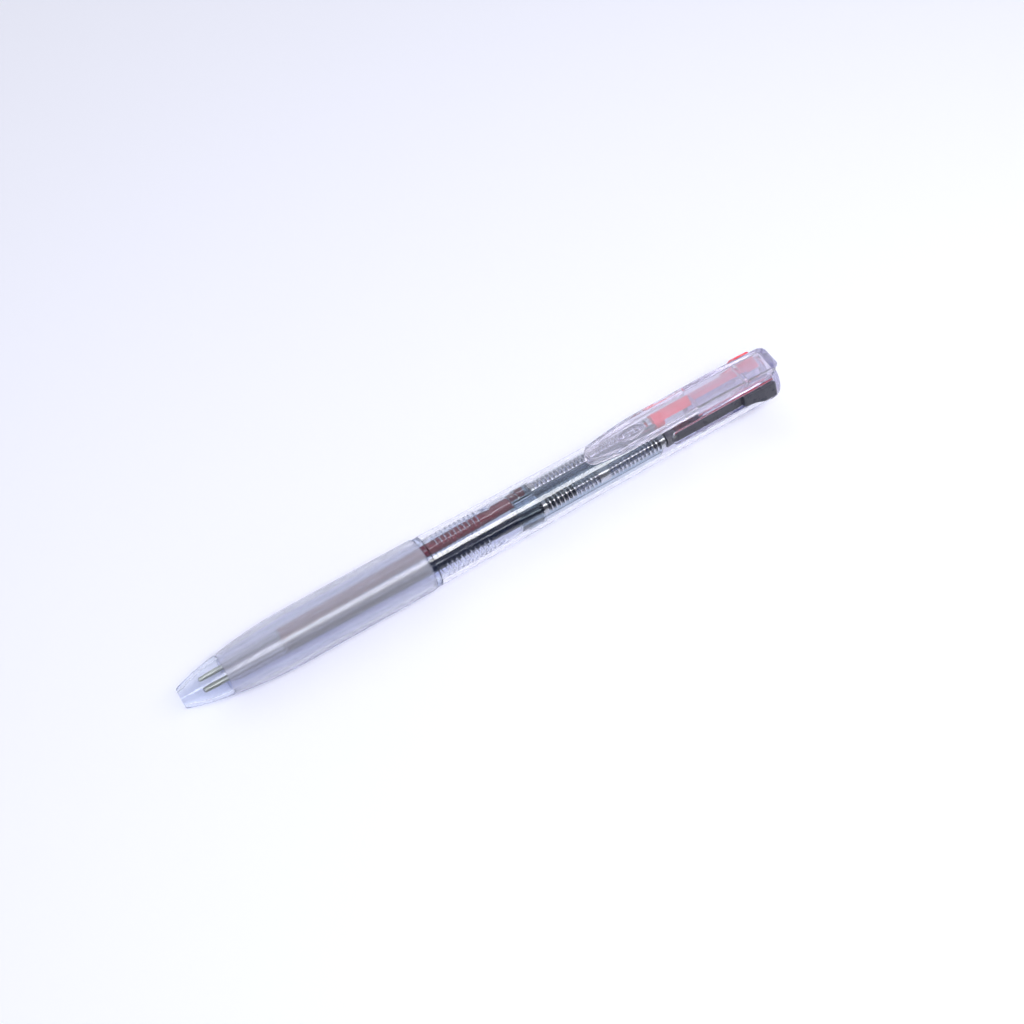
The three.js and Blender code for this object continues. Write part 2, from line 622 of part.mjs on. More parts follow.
// A spring is one unbroken tube of wire along that line
function spring() {
  const line = springLine();
  console.log('least gap between spring curls, mm:', leastGap(line).toFixed(3));
  const positions = [];
  const faces = [];
  line.forEach(({ out, middle }, i) => {
    const before = line[Math.max(i - 1, 0)].middle;
    const after = line[Math.min(i + 1, line.length - 1)].middle;
    const across = after.clone().sub(before).normalize().cross(out);
    for (let side = 0; side < WIRE_SIDES; side += 1) {
      const angle = 2 * Math.PI * side / WIRE_SIDES;
      const corner = middle.clone()
        .addScaledVector(out, WIRE_RADIUS * Math.cos(angle))
        .addScaledVector(across, WIRE_RADIUS * Math.sin(angle));
      positions.push(corner.x, corner.y, corner.z);
      if (i > 0) {
        const next = (side + 1) % WIRE_SIDES;
        const [old, now] = [(i - 1) * WIRE_SIDES, i * WIRE_SIDES];
        faces.push(old + side, old + next, now + side);
        faces.push(old + next, now + next, now + side);
      }
    }
  });
  const last = (line.length - 1) * WIRE_SIDES;
  for (let side = 1; side < WIRE_SIDES - 1; side += 1) {
    faces.push(0, side + 1, side);
    faces.push(last, last + side, last + side + 1);
  }
  const geometry = new THREE.BufferGeometry();
  geometry.setAttribute('position', new THREE.Float32BufferAttribute(positions, 3));
  geometry.setIndex(faces);
  return closeBody(geometry);
}

// Clear refill tube, narrowed at its front end round the shank of the point
function refillTube() {
  const shankBore = POINT_SHANK_RADIUS + FIT_GAP;
  const taperMiddle = tubeTaperEnd - TUBE_TAPER_LENGTH / 2;
  const path = new THREE.Path();
  path.moveTo(shankStart, shankBore);
  path.lineTo(shankStart, shankBore + TUBE_FRONT_WALL);
  path.quadraticCurveTo(taperMiddle, TUBE_RADIUS, tubeTaperEnd, TUBE_RADIUS);
  path.lineTo(bendStation, TUBE_RADIUS);
  path.lineTo(tubeEnd, TUBE_RADIUS);
  path.lineTo(tubeEnd, tubeBore);
  path.lineTo(bendStation, tubeBore);
  path.lineTo(shankEnd, tubeBore);
  path.lineTo(shankEnd - (tubeBore - shankBore), shankBore);
  path.lineTo(shankStart, shankBore);
  return leanIntoLane(revolve(path, SMALL_SIDES));
}

// Ink column behind the point, up to the level that is left in this refill
function inkColumn(fill) {
  const start = shankEnd + SEAM_GAP;
  const spigotStart = springCollarStart - SPIGOT_LENGTH;
  const end = start + fill * (spigotStart - start);
  const path = new THREE.Path();
  path.moveTo(start, 0);
  path.lineTo(start, tubeBore - INK_GAP);
  if (end > bendStation) {
    path.lineTo(bendStation, tubeBore - INK_GAP);
  }
  path.lineTo(end, tubeBore - INK_GAP);
  path.lineTo(end, 0);
  return leanIntoLane(revolve(path, SMALL_SIDES));
}

// Metal writing point: a rim round the ball, a slim neck and a shank, with its ink feed bore
function writingPoint() {
  const pocketRadius = BALL_RADIUS + POCKET_GAP;
  const coneEnd = pointStart + POINT_CONE_LENGTH;
  const path = new THREE.Path();
  path.moveTo(pointStart, pocketRadius);
  path.lineTo(pointStart, pocketRadius + RIM_WIDTH);
  path.lineTo(coneEnd, POINT_NECK_RADIUS);
  path.lineTo(shankStart - SEAM_GAP, POINT_NECK_RADIUS);
  path.lineTo(shankStart - SEAM_GAP, POINT_SHANK_RADIUS);
  path.lineTo(shankEnd, POINT_SHANK_RADIUS);
  path.lineTo(shankEnd, FEED_RADIUS);
  path.lineTo(pointStart + POCKET_DEPTH, FEED_RADIUS);
  path.lineTo(pointStart + POCKET_DEPTH, pocketRadius);
  path.lineTo(pointStart, pocketRadius);
  return leanIntoLane(revolve(path, POINT_SIDES));
}

// The ball that writes, loose in its pocket
function writingBall() {
  const geometry = new THREE.SphereGeometry(BALL_RADIUS, POINT_SIDES, POINT_SIDES - 2);
  geometry.translate(TIP_SET_BACK + BALL_RADIUS, 0, 0);
  return leanIntoLane(closeBody(geometry));
}

function piece(name, geometry, material) {
  const mesh = new THREE.Mesh(geometry, material);
  mesh.name = name;
  return mesh;
}

const pen = new THREE.Group();
pen.position.set(-capEnd / 2, 0, padRadius);
pen.add(piece('front_barrel', frontBarrel(), clearPlastic()));
pen.add(piece('grip_sleeve', gripSleeve(), frostedRubber()));
pen.add(piece('rear_barrel', rearBarrel(), clearPlastic()));
pen.add(piece('spring_guide', springGuide(), clearPlastic()));
pen.add(piece('clip_cap', clipCap(), clearPlastic()));

for (const colour of LANES) {
  const lane = new THREE.Group();
  lane.rotation.x = THREE.MathUtils.degToRad(colour.turn);
  lane.add(piece(`slider_${colour.name}`, slider(), glossy(colour.slider)));
  lane.add(piece(`return_spring_${colour.name}`, spring(), metal(0xc9cbd2)));
  lane.add(piece(`refill_tube_${colour.name}`, refillTube(), clearPlastic()));
  lane.add(piece(`ink_${colour.name}`, inkColumn(colour.fill), glossy(colour.ink)));
  lane.add(piece(`point_${colour.name}`, writingPoint(), metal(0xcdb877)));
  lane.add(piece(`ball_${colour.name}`, writingBall(), metal(0xd8d9de)));
  pen.add(lane);
}

export default pen;
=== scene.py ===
import math

import bpy
from mathutils import Matrix, Vector


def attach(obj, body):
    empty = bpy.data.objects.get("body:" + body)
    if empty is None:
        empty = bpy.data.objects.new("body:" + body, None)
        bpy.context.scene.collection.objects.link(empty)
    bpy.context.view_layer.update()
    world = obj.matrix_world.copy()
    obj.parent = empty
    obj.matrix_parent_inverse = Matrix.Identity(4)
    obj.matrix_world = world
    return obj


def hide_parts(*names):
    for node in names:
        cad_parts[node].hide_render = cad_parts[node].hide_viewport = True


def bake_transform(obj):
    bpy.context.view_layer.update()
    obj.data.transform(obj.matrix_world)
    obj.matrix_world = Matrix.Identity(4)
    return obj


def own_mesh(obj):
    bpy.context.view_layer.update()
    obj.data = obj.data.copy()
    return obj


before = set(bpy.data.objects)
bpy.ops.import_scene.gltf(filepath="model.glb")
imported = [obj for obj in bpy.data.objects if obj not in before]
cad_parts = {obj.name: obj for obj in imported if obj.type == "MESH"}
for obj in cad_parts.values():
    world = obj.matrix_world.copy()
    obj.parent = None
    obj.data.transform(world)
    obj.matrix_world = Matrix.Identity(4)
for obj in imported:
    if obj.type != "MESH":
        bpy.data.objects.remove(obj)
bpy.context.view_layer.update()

# The camera stands in front of the pen's nose, above it and a little to one side,
# as it does in the photograph, and looks down on the black slider and the clip.
CAMERA_PLACE = (-0.0730, -0.1178, 0.2441)
CAMERA_PITCH = math.radians(90 - 59.17)
CAMERA_ROLL = math.radians(0.38)
CAMERA_HEADING = math.radians(-33.21)
LENS_MM = 45.7
SENSOR_MM = 36.0
NEAREST_SEEN = 0.005
camera = bpy.data.objects.new("camera", bpy.data.cameras.new("camera"))
bpy.context.scene.collection.objects.link(camera)
bpy.context.scene.camera = camera
camera.data.lens = LENS_MM
camera.data.sensor_width = SENSOR_MM
camera.data.clip_start = NEAREST_SEEN
camera.location = CAMERA_PLACE
turn_to_pen = (
    Matrix.Rotation(CAMERA_HEADING, 4, "Z")
    @ Matrix.Rotation(CAMERA_PITCH, 4, "X")
    @ Matrix.Rotation(CAMERA_ROLL, 4, "Z")
)
camera.rotation_euler = turn_to_pen.to_euler()


# Front barrel: one clear moulding with the nose cone and its round hole, the seat for
# the grip, a collar and the neck. The neck's helical thread screws into the rear barrel.
MM = 0.001
AXIS = 6.798
MIDDLE = 73.0
ROUND_SIDES = 128
SLIM_SIDES = 48
THIN_SIDES = 32
WELD = 1e-6
SMOOTH_ANGLE = math.radians(35)
CLEAR_IOR = 1.5


def place(station, height, across=0.0):
    """The point at a station behind the nose and a height over the pen's axis, in metres."""
    return Vector(((station - MIDDLE) * MM, across * MM, (AXIS + height) * MM))


def curve(start, control, end, steps=8):
    """Points of a smooth bend from start to end, drawn towards the control point."""
    found = []
    for k in range(1, steps + 1):
        t = k / steps
        found.append(tuple(
            (1 - t) ** 2 * a + 2 * t * (1 - t) * b + t * t * c
            for a, b, c in zip(start, control, end)
        ))
    return found


def draw(name, points):
    """Starts a piece as one vertex and extrudes it from point to point, left in edit mode."""
    bpy.ops.object.select_all(action="DESELECT")
    bpy.ops.mesh.primitive_plane_add(size=MM, location=(0, 0, 0))
    drawn = bpy.context.active_object
    drawn.name = drawn.data.name = name
    bpy.ops.object.mode_set(mode="EDIT")
    bpy.ops.mesh.select_all(action="SELECT")
    bpy.ops.mesh.merge(type="CENTER")
    bpy.ops.transform.translate(value=points[0])
    for here, there in zip(points, points[1:]):
        bpy.ops.mesh.extrude_vertices_move(TRANSFORM_OT_translate={"value": there - here})
    return drawn


def closed(piece):
    """Turns the faces of a piece in edit mode outwards and leaves edit mode."""
    bpy.ops.mesh.select_all(action="SELECT")
    bpy.ops.mesh.normals_make_consistent(inside=False)
    bpy.ops.object.mode_set(mode="OBJECT")
    return piece


def spun(name, outline, sides=ROUND_SIDES, height=0.0):
    """Spins an outline of stations and radii once round a line at some height."""
    piece = draw(name, [place(s, r + height) for s, r in outline])
    bpy.ops.mesh.select_all(action="SELECT")
    bpy.ops.mesh.spin(
        steps=sides, angle=2 * math.pi, center=place(0, height), axis=(1, 0, 0)
    )
    bpy.ops.mesh.select_all(action="SELECT")
    bpy.ops.mesh.remove_doubles(threshold=WELD)
    return closed(piece)


def only(piece):
    """Makes a piece the one that the next operator works on."""
    bpy.ops.object.select_all(action="DESELECT")
    piece.select_set(True)
    bpy.context.view_layer.objects.active = piece


def shaded(piece):
    """Shades a piece smooth, except across its sharp edges."""
    only(piece)
    bpy.ops.object.shade_smooth_by_angle(angle=SMOOTH_ANGLE)
    return piece


def modified(piece, kind, **settings):
    """Adds a modifier to a piece and applies it."""
    only(piece)
    modifier = piece.modifiers.new(kind.lower(), kind)
    for setting, value in settings.items():
        setattr(modifier, setting, value)
    bpy.ops.object.modifier_apply(modifier=modifier.name)
    return piece


def softened(piece, width):
    """Rounds the moulded edges of a piece, and shades its faces flat between the rounds."""
    modified(
        piece, "BEVEL", width=width * MM, segments=3, limit_method="ANGLE",
        angle_limit=SMOOTH_ANGLE, harden_normals=False,
    )
    shaded(piece)
    # The modifier weighs faces as small as these rightly only in millimetres.
    piece.data.transform(Matrix.Scale(1 / MM, 4))
    modified(piece, "WEIGHTED_NORMAL", keep_sharp=True)
    piece.data.transform(Matrix.Scale(MM, 4))
    return piece


def finish_of(name):
    """A new material with its node tree, and the tree's Principled shader."""
    material = bpy.data.materials.new(name)
    material.use_nodes = True
    return material, material.node_tree.nodes["Principled BSDF"]


def added(material, kind, **values):
    """A node added to a material, with values for its sockets and its own settings."""
    node = material.node_tree.nodes.new(kind)
    for key, value in values.items():
        socket = key.replace("_", " ").title()
        if socket in node.inputs:
            node.inputs[socket].default_value = value
        else:
            setattr(node, key, value)
    return node


def noise_on(material, scale, detail, stretch=(1.0, 1.0, 1.0)):
    """A noise that lies on a piece by the piece's own coordinates, stretched or not."""
    where = added(material, "ShaderNodeTexCoord")
    mapping = added(material, "ShaderNodeMapping", scale=stretch)
    noise = added(material, "ShaderNodeTexNoise", scale=scale, detail=detail)
    material.node_tree.links.new(where.outputs["Object"], mapping.inputs["Vector"])
    material.node_tree.links.new(mapping.outputs["Vector"], noise.inputs["Vector"])
    return noise


def uneven(material, shader, noise, least, most):
    """Lets a noise vary the roughness of a material between two values."""
    spread = added(material, "ShaderNodeMapRange", to_min=least, to_max=most)
    material.node_tree.links.new(noise.outputs["Fac"], spread.inputs["Value"])
    material.node_tree.links.new(spread.outputs["Result"], shader.inputs["Roughness"])


def bumped(material, shader, noise, strength, distance):
    """Lets a noise raise fine bumps on a material."""
    bump = added(material, "ShaderNodeBump", strength=strength, distance=distance)
    material.node_tree.links.new(noise.outputs["Fac"], bump.inputs["Height"])
    material.node_tree.links.new(bump.outputs["Normal"], shader.inputs["Normal"])


def lets_light_in(material, shader, tint):
    """Rays from the lamps pass through a clear material, tinted, instead of stopping."""
    links = material.node_tree.links
    path = added(material, "ShaderNodeLightPath")
    passing = added(material, "ShaderNodeBsdfTransparent", color=(*tint, 1))
    mix = added(material, "ShaderNodeMixShader")
    links.new(path.outputs["Is Shadow Ray"], mix.inputs[0])
    links.new(shader.outputs[0], mix.inputs[1])
    links.new(passing.outputs[0], mix.inputs[2])
    links.new(mix.outputs[0], material.node_tree.nodes["Material Output"].inputs["Surface"])


def clear(name, colour, tint, absorbed, density, roughness, clarity=1.0):
    """Clear moulded plastic: polished, faintly wavy, and darker where it is looked into."""
    material, shader = finish_of(name)
    shader.inputs["Base Color"].default_value = (*colour, 1)
    shader.inputs["Transmission Weight"].default_value = clarity
    shader.inputs["IOR"].default_value = CLEAR_IOR
    rub = noise_on(material, scale=900.0, detail=3.0)
    uneven(material, shader, rub, roughness * 0.6, roughness * 1.4)
    flow = noise_on(material, scale=500.0, detail=2.0, stretch=(0.3, 1.0, 1.0))
    bumped(material, shader, flow, strength=0.12, distance=0.00003)
    depth = added(material, "ShaderNodeVolumeAbsorption", color=(*absorbed, 1), density=density)
    output = material.node_tree.nodes["Material Output"]
    material.node_tree.links.new(depth.outputs[0], output.inputs["Volume"])
    lets_light_in(material, shader, tint)
    return material


def dressed(piece, material, body, slot, *nodes):
    """Gives a finished piece its material, its body and the CAD nodes it stands for; the slot is
    not used.
    """
    piece.data.materials.clear()
    piece.data.materials.append(material)
    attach(piece, body)
    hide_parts(*nodes)
    return piece


clear_plastic = clear(
    "clear_plastic", colour=(0.985, 0.985, 0.995), tint=(0.95, 0.95, 0.985),
    absorbed=(0.74, 0.74, 0.86), density=110.0, roughness=0.04,
)
tinted_plastic = clear(
    "tinted_clear_plastic", colour=(0.965, 0.975, 0.995), tint=(0.93, 0.94, 0.98),
    absorbed=(0.70, 0.75, 0.88), density=330.0, roughness=0.07,
)

NOSE_HOLE = 1.45
NOSE_RIM = 1.9
NOSE_LENGTH = 9.5
NOSE_RADIUS = 4.45
NOSE_BORE = 3.45
SEAT_RADIUS = 4.745
SEAT_FULL = 24.5
GRIP_END = 55.4
COLLAR_END = 56.4
COLLAR_RADIUS = 5.648
NECK_END = 77.0
NECK_RADIUS = 4.43
NECK_BORE = 4.045
RING_RADIUS = NECK_RADIUS + 0.1
THREAD_START = 57.9
THREAD_PITCH = 1.13
THREAD_TURNS = 11
THREAD_HEIGHT = 0.26
THREAD_SHARPNESS = 6
THREAD_RUN_OUT = 0.6
THREAD_LENGTH_STEPS = 7 * THREAD_TURNS
front_outline = [(0.0, NOSE_HOLE), (0.0, NOSE_RIM)]
front_outline += curve((0.0, NOSE_RIM), (0.0, 2.25), (0.6, 2.42))
front_outline += curve((0.6, 2.42), (4.75, 3.82), (NOSE_LENGTH, NOSE_RADIUS), steps=16)
front_outline += [
    (NOSE_LENGTH, 3.95), (SEAT_FULL, SEAT_RADIUS), (GRIP_END, SEAT_RADIUS),
    (GRIP_END, COLLAR_RADIUS), (COLLAR_END, COLLAR_RADIUS), (COLLAR_END, NECK_RADIUS),
]
for k in range(THREAD_LENGTH_STEPS + 1):
    front_outline.append((
        THREAD_START + THREAD_PITCH * THREAD_TURNS * k / THREAD_LENGTH_STEPS, NECK_RADIUS,
    ))
front_outline += [
    (72.3, NECK_RADIUS), (72.45, RING_RADIUS), (73.0, RING_RADIUS), (73.15, NECK_RADIUS),
    (76.6, NECK_RADIUS), (NECK_END, NECK_RADIUS - 0.15), (NECK_END, NECK_BORE),
    (GRIP_END, NECK_BORE), (12.95, NOSE_BORE), (9.0, NOSE_BORE),
]
front_outline += curve((9.0, NOSE_BORE), (4.75, 3.1), (1.1, 1.65), steps=12)
front_outline.append((0.0, NOSE_HOLE))
front_barrel = spun("clear_front_barrel", front_outline)
for vertex in front_barrel.data.vertices:
    x, y, z = vertex.co / MM
    out = math.hypot(y, z - AXIS)
    along = (x + MIDDLE - THREAD_START) / THREAD_PITCH
    if abs(out - NECK_RADIUS) < 0.01 and 0 < along < THREAD_TURNS:
        lead = math.atan2(y, z - AXIS) / (2 * math.pi)
        ridge = max(0.0, math.cos(2 * math.pi * (along - lead))) ** THREAD_SHARPNESS
        fade = min(1.0, along / THREAD_RUN_OUT, (THREAD_TURNS - along) / THREAD_RUN_OUT)
        grown = (out + THREAD_HEIGHT * ridge * fade) / out
        vertex.co.y = y * grown * MM
        vertex.co.z = (AXIS + (z - AXIS) * grown) * MM
shaded(front_barrel)
dressed(front_barrel, tinted_plastic, "front_section", "clear_plastic", "front_barrel")


# Grip sleeve: soft translucent rubber with a frosted skin, moulded slim at the nose and
# full under the fingers, and pushed over the front barrel up to its collar.
RUBBER_IOR = 1.41
frosted_rubber, skin = finish_of("frosted_rubber")
skin.inputs["Base Color"].default_value = (0.825, 0.835, 0.915, 1)
skin.inputs["Transmission Weight"].default_value = 0.89
skin.inputs["IOR"].default_value = RUBBER_IOR
grain = noise_on(frosted_rubber, scale=6000.0, detail=4.0)
uneven(frosted_rubber, skin, grain, 0.20, 0.29)
bumped(frosted_rubber, skin, grain, strength=0.25, distance=0.00002)
lets_light_in(frosted_rubber, skin, (0.60, 0.60, 0.70))

SLEEVE_START = 9.65
SLEEVE_END = 55.25
SLEEVE_RADIUS = 5.865
SLEEVE_BORE = 4.83
SLEEVE_FRONT_BORE = 4.04
sleeve_outline = [(SLEEVE_START, SLEEVE_FRONT_BORE), (SLEEVE_START, 4.25)]
sleeve_outline += curve((SLEEVE_START, 4.25), (SLEEVE_START, 4.44), (9.95, 4.5))
sleeve_outline += curve((9.95, 4.5), (18.1, 5.885), (26.5, SLEEVE_RADIUS), steps=16)
sleeve_outline += [(54.7, SLEEVE_RADIUS)]
sleeve_outline += curve((54.7, SLEEVE_RADIUS), (SLEEVE_END, SLEEVE_RADIUS), (SLEEVE_END, 5.37))
sleeve_outline += [
    (SLEEVE_END, SLEEVE_BORE), (SEAT_FULL, SLEEVE_BORE), (SLEEVE_START, SLEEVE_FRONT_BORE),
]
grip = shaded(spun("frosted_grip_sleeve", sleeve_outline))
dressed(grip, frosted_rubber, "front_section", "frosted_rubber", "grip_sleeve")


# Rear barrel: a clear moulded tube, a little wider at its socket in front, with three
# long slots for the thumb pads. The slots are round in front and open at the cap.
BARREL_START = 56.55
BARREL_END = 143.9
BARREL_RADIUS = 5.398
BARREL_FRONT_RADIUS = 5.698
BORE = 4.598
SOCKET = 4.748
SHOULDER = 82.5
SLOT_START = 115.9
SLOT_HALF = 1.4
PAST_END = 147.0
ABOVE_ALL = 8.1
LANES = {"black": 60.0, "red": -60.0, "blue": 180.0}


def raised(name, points, push):
    """Fills an outline of points and pushes the face out into a solid."""
    piece = draw(name, points)
    bpy.ops.mesh.select_all(action="SELECT")
    bpy.ops.mesh.remove_doubles(threshold=WELD)
    bpy.ops.mesh.edge_face_add()
    bpy.ops.mesh.extrude_region_move(TRANSFORM_OT_translate={"value": Vector(push) * MM})
    return closed(piece)


def from_above(name, outline, low, high):
    """A solid drawn from above by stations and widths, between two heights."""
    points = [place(s, low, w) for s, w in [*outline, outline[0]]]
    return raised(name, points, (0, 0, high - low))


def from_side(name, outline, width):
    """A solid drawn from the side by stations and heights, as wide as given."""
    points = [place(s, h, -width / 2) for s, h in [*outline, outline[0]]]
    return raised(name, points, (0, width, 0))


def turned(piece, degrees):
    """Turns a piece, in its mesh, round the pen's axis from the clip's side."""
    centre = place(0, 0)
    piece.data.transform(
        Matrix.Translation(centre)
        @ Matrix.Rotation(math.radians(degrees), 4, "X")
        @ Matrix.Translation(-centre)
    )
    return piece


def cut(piece, tool, how="DIFFERENCE"):
    """Works one solid with another, and clears the tool away."""
    modified(piece, "BOOLEAN", operation=how, solver="EXACT", object=tool)
    bpy.data.objects.remove(tool)
    return piece


def half_round(middle, radius, start, end, steps=12):
    """Points of an arc about (station, width), from one angle to another in degrees."""
    return [
        (
            middle[0] + radius * math.cos(math.radians(start + (end - start) * k / steps)),
            middle[1] + radius * math.sin(math.radians(start + (end - start) * k / steps)),
        )
        for k in range(steps + 1)
    ]


rear_outline = [(BARREL_START, SOCKET), (BARREL_START, BARREL_FRONT_RADIUS)]
rear_outline += curve(
    (BARREL_START, BARREL_FRONT_RADIUS), (90.8, BARREL_RADIUS), (125.05, BARREL_RADIUS), 24
)
rear_outline += [
    (BARREL_END, BARREL_RADIUS), (BARREL_END, BORE), (SHOULDER, BORE), (SHOULDER, SOCKET),
    (BARREL_START, SOCKET),
]
rear_barrel = spun("clear_rear_barrel", rear_outline)
slot_outline = half_round((SLOT_START + SLOT_HALF, 0), SLOT_HALF, 90, 270)
slot_outline += [(PAST_END, -SLOT_HALF), (PAST_END, SLOT_HALF)]
for lane, turn in LANES.items():
    cut(rear_barrel, turned(from_above("slot_" + lane, slot_outline, 2.6, ABOVE_ALL), turn))
softened(rear_barrel, 0.12)
dressed(rear_barrel, clear_plastic, "barrel", "clear_plastic", "rear_barrel")


# Spring guide: a clear round plug with a stepped front and a hole for each refill, and
# behind it three long flat fins that keep the springs apart inside the barrel, with a
# narrow strip along the barrel's wall on one side of each fin.
PLUG_START = 77.3
PLUG_STEP = 79.1
PLUG_END = 82.2
PLUG_NOSE_RADIUS = 4.248
PLUG_RADIUS = 4.648
LANE_RADIUS = 2.595
HOLE_RADIUS = 1.55
FIN_BEND = 112.5
FIN_END = 114.75
FIN_REACH = 4.498
FIN_FOOT = -0.2
FIN_WIDTH = 0.45
STRIP_HALF = 0.75
STRIP_NECK = 84.2
STRIP_TURN = -29
guide = spun("clear_spring_guide", [
    (PLUG_START, 0), (PLUG_START, PLUG_NOSE_RADIUS), (PLUG_STEP, PLUG_NOSE_RADIUS),
    (PLUG_STEP, PLUG_RADIUS), (PLUG_END, PLUG_RADIUS), (PLUG_END, 0),
])
fin_outline = [(81.8, FIN_FOOT), (81.8, FIN_REACH), (FIN_BEND, FIN_REACH)]
fin_outline += curve((FIN_BEND, FIN_REACH), (FIN_END, FIN_REACH), (FIN_END, 2.25))
fin_outline += [(FIN_END, FIN_FOOT)]
for lane, turn in LANES.items():
    cut(guide, turned(from_side("fin_" + lane, fin_outline, FIN_WIDTH), turn + 180), "UNION")
for lane, turn in LANES.items():
    hole = spun("hole_" + lane, [(77, 0), (77, HOLE_RADIUS), (82.5, HOLE_RADIUS), (82.5, 0)],
                SLIM_SIDES, height=LANE_RADIUS - 0.05)
    cut(guide, turned(hole, turn))
strip_outline = [(81.9, 0.35), (81.9, -0.35)]
strip_outline += half_round((STRIP_NECK, 0), STRIP_HALF, 208, 270, 5)
strip_outline += [(FIN_END, -STRIP_HALF), (FIN_END, STRIP_HALF)]
strip_outline += half_round((STRIP_NECK, 0), STRIP_HALF, 90, 152, 5)
for lane, turn in LANES.items():
    strip = from_above("strip_" + lane, strip_outline, 4.17, 4.47)
    cut(guide, turned(strip, turn + STRIP_TURN), "UNION")
softened(guide, 0.08)
guide_plastic = clear(
    "guide_plastic", colour=(0.76, 0.83, 0.87), tint=(0.85, 0.88, 0.92),
    absorbed=(0.60, 0.70, 0.80), density=150.0, roughness=0.12,
)
dressed(guide, guide_plastic, "barrel", "clear_plastic", "spring_guide")


# Clip and cap: one clear, faintly hazy moulding. The clip is a flat channel that grows
# out of the end cap, with deep side walls near its root, a rib and a bead. Under it the
# cap's winged core reaches into the barrel and guides the three sliders.
CAP_START = 144.05
CAP_EDGE = 144.7
CAP_END = 146.0
CAP_RADIUS = 5.448
CORE_START = 125.05
CORE_RADIUS = 4.448
CLIP_TIP = 95.7
CLIP_TOP = 8.098
CLIP_HALF = 3.2
CLIP_ROOM = 5.548
FLARE_START = 97.7
FLARE_END = 111.7
ROOT_START = 123.5
WALL = 0.8
OVER_ALL = 9.3
cap_outline = [(CAP_START, 0), (CAP_START, CAP_RADIUS), (CAP_EDGE, CAP_RADIUS)]
cap_outline += curve((CAP_EDGE, CAP_RADIUS), (CAP_END, CAP_RADIUS), (CAP_END, 4.148))
cap_outline += [(CAP_END, 0)]
cap = spun("clear_clip_and_cap", cap_outline)
arm_side = [(CLIP_TIP, CLIP_ROOM), (CLIP_TIP, 7.35)]
arm_side += curve((CLIP_TIP, 7.35), (CLIP_TIP, 7.698), (CLIP_TIP + 0.4, 7.703), 5)
arm_side += [(124.0, 8.048)] + curve((124.0, 8.048), (128.0, CLIP_TOP), (132.0, 7.898))
arm_side += [(144.9, 7.253)] + curve((144.9, 7.253), (CAP_END, 7.198), (CAP_END, 6.098))
arm_side += [(CAP_END, 2.6), (ROOT_START, 2.6), (ROOT_START, 5.892)]
arm = from_side("arm", arm_side, 2 * CLIP_HALF)


def clip_plan(wall, end):
    """The clip seen from above: a round tip and flared sides, set in by a wall."""
    tip, half, corner = 2.0 - wall, CLIP_HALF - wall, 2.6 - wall
    plan = half_round((FLARE_START, 0), tip, 90, 270, 16)
    plan += curve((FLARE_START, -tip), (104.7, -half), (FLARE_END, -half), 10)
    plan += [(end - corner, -half)]
    plan += curve((end - corner, -half), (end, -half), (end, corner - half))
    plan += [(end, half - corner)]
    plan += curve((end, half - corner), (end, half), (end - corner, half))
    plan += curve((FLARE_END, half), (104.7, half), (FLARE_START, tip), 10)[:-1]
    return plan


cut(arm, from_above("arm_plan", clip_plan(0.0, CAP_END), 0, OVER_ALL), "INTERSECT")
hollow = from_side("hollow", [
    (95.0, 0), (95.0, 6.489), (128.0, 6.898), (CAP_START, 6.096), (CAP_START, 0),
], 2 * CLIP_HALF)
hollow_plan = from_above("hollow_plan", clip_plan(WALL, CAP_END - WALL), -1, OVER_ALL)
cut(hollow, hollow_plan, "INTERSECT")
cut(hollow, from_side("rib", [(136.6, -1), (136.6, 8), (137.4, 8), (137.4, -1)], 8))
cut(arm, hollow)
cut(arm, spun("barrel_room", [
    (123.0, 0), (123.0, CLIP_ROOM), (CAP_START, CLIP_ROOM), (CAP_START, 0),
]))
bpy.ops.object.select_all(action="DESELECT")
bpy.ops.mesh.primitive_uv_sphere_add(
    segments=48, ring_count=24, radius=MM, location=place(107.5, 6.644),
    scale=(3.5, 1.6, 1.0),
)
bead = bpy.context.active_object
bpy.ops.object.transform_apply()
cut(arm, bead, "UNION")
cut(cap, arm, "UNION")
core = spun("core", [
    (CORE_START, 0), (CORE_START, CORE_RADIUS), (CAP_EDGE, CORE_RADIUS), (CAP_EDGE, 0),
])
channel_side = [
    (124.75, 1.15), (136.55, 1.15), (136.55, 1.5), (CAP_START, 1.5), (CAP_START, ABOVE_ALL),
    (124.75, ABOVE_ALL),
]
for lane, turn in LANES.items():
    cut(core, turned(from_side("channel_" + lane, channel_side, 2 * SLOT_HALF), turn))
cut(cap, core, "UNION")
softened(cap, 0.16)
clip_plastic = clear(
    "hazy_clear_plastic", colour=(0.82, 0.80, 0.87), tint=(0.93, 0.93, 0.97),
    absorbed=(0.74, 0.74, 0.86), density=110.0, roughness=0.07, clarity=0.90,
)
dressed(cap, clip_plastic, "barrel", "clear_plastic", "clip_cap")


# Sliders: three glossy coloured mouldings, each with a thumb pad that stands out of its
# slot, a long bar, a latch tail, a collar that the spring pushes and a refill spigot.
def glossy(name, colour, roughness):
    """Coloured moulded plastic, glossy, with a faint skin and rubbed patches."""
    material, shader = finish_of(name)
    links = material.node_tree.links
    rub = noise_on(material, scale=700.0, detail=4.0)
    shade = added(material, "ShaderNodeMix", data_type="RGBA")
    shade.inputs["A"].default_value = (*[c * 0.88 for c in colour], 1)
    shade.inputs["B"].default_value = (*[min(1, c * 1.1 + 0.004) for c in colour], 1)
    links.new(rub.outputs["Fac"], shade.inputs["Factor"])
    links.new(shade.outputs["Result"], shader.inputs["Base Color"])
    uneven(material, shader, rub, roughness * 0.75, roughness * 1.3)
    dimples = noise_on(material, scale=5000.0, detail=3.0)
    bumped(material, shader, dimples, strength=0.1, distance=0.00002)
    return material


